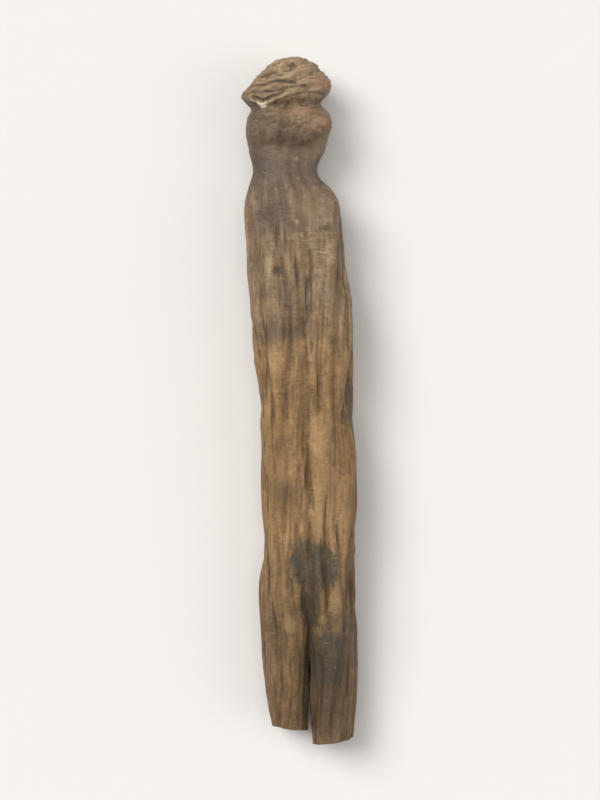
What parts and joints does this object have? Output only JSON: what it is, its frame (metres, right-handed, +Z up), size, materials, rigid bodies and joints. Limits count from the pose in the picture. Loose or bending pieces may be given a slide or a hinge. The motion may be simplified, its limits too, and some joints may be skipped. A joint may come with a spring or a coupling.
{
  "type": "dried ginseng root",
  "caption": "Whole steamed and dried ginseng root with a knobbly lobed head, a neck, a long wrinkled pressed body and two trimmed legs, lying flat.",
  "frame": {"origin": "on the surface that the root lies on, under the middle of the root's box", "axes": "+Y along the root towards its head, +Z up from the surface it lies on, +X across the root to the right as seen from above with the head up"},
  "size_m": [0.0232, 0.134, 0.017],
  "materials": {
    "root_skin": "matt to faintly waxy dried skin, brown with tan ridges and darker furrows and patches"
  },
  "bodies": {
    "root": {"ginseng_root": "root_skin"}
  },
  "joints": []
}
